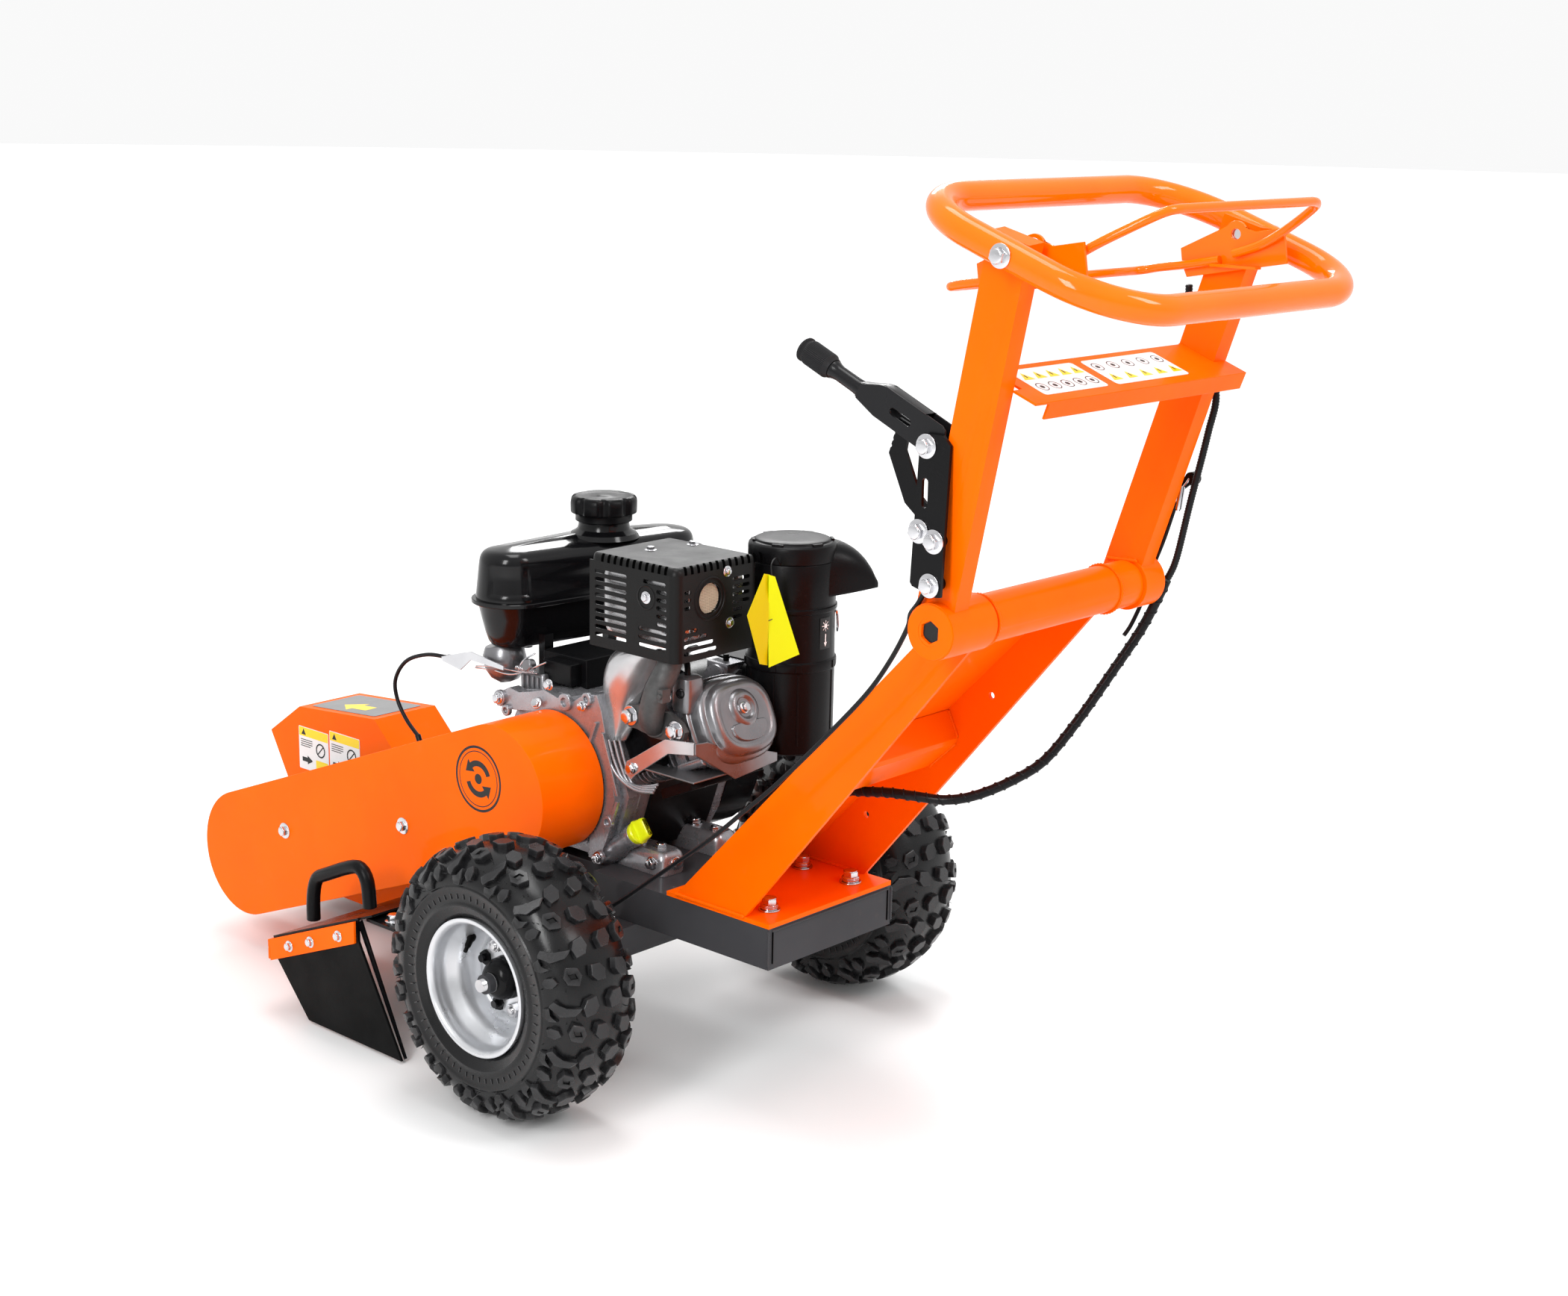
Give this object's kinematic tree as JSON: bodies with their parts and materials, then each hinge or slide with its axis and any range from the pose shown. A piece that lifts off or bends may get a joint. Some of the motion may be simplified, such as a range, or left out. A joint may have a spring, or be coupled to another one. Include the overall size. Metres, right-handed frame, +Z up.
{
  "type": "stump grinder",
  "caption": "Walk-behind stump grinder: wheeled frame, belt-driven toothed cutter in a hood, petrol engine, sloping column and ring handlebar with bail.",
  "frame": {"origin": "on the ground, under the middle of the machine's overall box", "axes": "+Y forward, from the handlebar towards the cutter; +X to the machine's right; +Z up"},
  "size_m": [0.77, 1.7168, 1.1762],
  "materials": {
    "orange": "gloss powder coat",
    "frame_grey": "satin powder coat",
    "black_plastic": "fine moulded texture",
    "black_steel": "satin black paint",
    "tyre": "moulded rubber",
    "rubber": "flat rubber",
    "rim": "silver paint",
    "zinc": "zinc plate",
    "cast": "die-cast",
    "muffler_steel": "heat-tinted",
    "cutter_steel": "dark oxide",
    "lime": "gloss",
    "red": "gloss",
    "cable": "satin sleeve"
  },
  "bodies": {
    "root": {"chassis": "frame_grey", "axle": "frame_grey", "column": "orange", "column_brace": "orange", "cutter_housing": "orange", "cutter_bearings": "cast", "belt_backplate": "black_steel", "belt_cover": "orange", "drive_belt": "rubber", "debris_guard": "black_steel", "debris_flap": "rubber", "flap_clamp": "orange", "guard_handle": "black_plastic", "frame_bolts": "zinc", "crankcase": "cast", "crankcase_cover": "cast", "engine_cylinder": "cast", "valve_cover": "cast", "cylinder_shroud": "black_steel", "exhaust_pipe": "muffler_steel", "muffler": "muffler_steel", "muffler_guard": "black_steel", "blower_housing": "black_steel", "recoil_cover": "black_plastic", "fuel_tank": "black_plastic", "air_cleaner": "black_plastic", "carburettor": "cast", "engine_screws": "zinc", "brake_plate": "black_steel", "control_cables": "cable", "brake_cable": "cable", "throttle_cable": "cable"},
    "crank": {"crankshaft": "zinc", "flywheel": "cast", "clutch_pulley": "zinc"},
    "cutter": {"cutter_shaft": "zinc", "cutter_pulley": "zinc", "cutter_disc": "cutter_steel", "cutter_teeth": "cutter_steel"},
    "left_wheel": {"left_tyre": "tyre", "left_rim": "rim", "left_hub": "black_steel"},
    "right_wheel": {"right_tyre": "tyre", "right_rim": "rim", "right_hub": "black_steel"},
    "handlebar": {"handle_arms": "orange", "handle_ring": "orange", "console_tray": "orange", "handle_bolts": "zinc", "brake_bracket": "black_steel"},
    "bail": {"bail": "orange"},
    "brake_lever": {"brake_lever": "black_plastic"},
    "brake_adjuster": {"brake_adjuster": "black_plastic"},
    "throttle_lever": {"throttle_lever": "black_steel"},
    "fuel_cap": {"fuel_cap": "black_plastic"},
    "air_cleaner_cap": {"air_cleaner_cap": "black_plastic"},
    "starter_grip": {"starter_grip": "black_plastic"},
    "dipstick": {"dipstick": "lime"},
    "choke_lever": {"choke_lever": "black_plastic"},
    "engine_switch": {"engine_switch": "red"}
  },
  "joints": [
    {"name": "cutter_spin", "type": "hinge", "parent": "root", "child": "cutter", "pos_m": [0, 0.68138, 0.143], "axis": [1, 0, 0], "continuous": true},
    {"name": "crank_spin", "type": "hinge", "parent": "root", "child": "crank", "pos_m": [0, 0.11638, 0.36], "axis": [1, 0, 0], "continuous": true},
    {"name": "left_wheel_spin", "type": "hinge", "parent": "root", "child": "left_wheel", "pos_m": [0, -0.03362, 0.18], "axis": [1, 0, 0], "continuous": true},
    {"name": "right_wheel_spin", "type": "hinge", "parent": "root", "child": "right_wheel", "pos_m": [0, -0.03362, 0.18], "axis": [1, 0, 0], "continuous": true},
    {"name": "handlebar_tilt", "type": "hinge", "parent": "root", "child": "handlebar", "pos_m": [0, -0.59212, 0.699], "axis": [1, 0, 0], "range_deg": [-60, 15], "deforming": ["control_cables", "brake_cable"]},
    {"name": "bail_press", "type": "hinge", "parent": "handlebar", "child": "bail", "pos_m": [0, -0.69962, 1.1155], "axis": [1, 0, 0], "range_deg": [0, 28], "stiffness_Nm_per_rad": 2, "springref_deg": -34.38},
    {"name": "brake_lever_pull", "type": "hinge", "parent": "handlebar", "child": "brake_lever", "pos_m": [-0.2, -0.58762, 0.9025], "axis": [1, 0, 0], "range_deg": [0, 22]},
    {"name": "brake_adjuster_turn", "type": "hinge", "parent": "brake_lever", "child": "brake_adjuster", "pos_m": [-0.2, -0.42355, 0.97657], "axis": [0, 0.9171, 0.3987], "continuous": true},
    {"name": "throttle_swing", "type": "hinge", "parent": "handlebar", "child": "throttle_lever", "pos_m": [0.223, -0.61162, 0.802], "axis": [1, 0, 0], "range_deg": [-35, 20]},
    {"name": "fuel_cap_lift", "type": "slide", "parent": "root", "child": "fuel_cap", "axis": [0, 0, 1], "range_m": [0, 0.08]},
    {"name": "air_cap_lift", "type": "slide", "parent": "root", "child": "air_cleaner_cap", "axis": [0, 0, 1], "range_m": [0, 0.06]},
    {"name": "starter_pull", "type": "slide", "parent": "root", "child": "starter_grip", "axis": [0, 1, 0], "range_m": [0, 0.09], "stiffness_N_per_m": 40, "springref_m": -0.05},
    {"name": "dipstick_lift", "type": "slide", "parent": "root", "child": "dipstick", "axis": [0, -0.809, 0.5878], "range_m": [0, 0.04]},
    {"name": "choke_swing", "type": "hinge", "parent": "root", "child": "choke_lever", "pos_m": [0.083, -0.01862, 0.517], "axis": [0, 0, 1], "range_deg": [-20, 25]},
    {"name": "switch_push", "type": "slide", "parent": "root", "child": "engine_switch", "axis": [-1, 0, 0], "range_m": [0, 0.003]}
  ],
  "couplings": [
    {"joint": "crank_spin", "follows": "cutter_spin", "ratio": 1.3077}
  ]
}
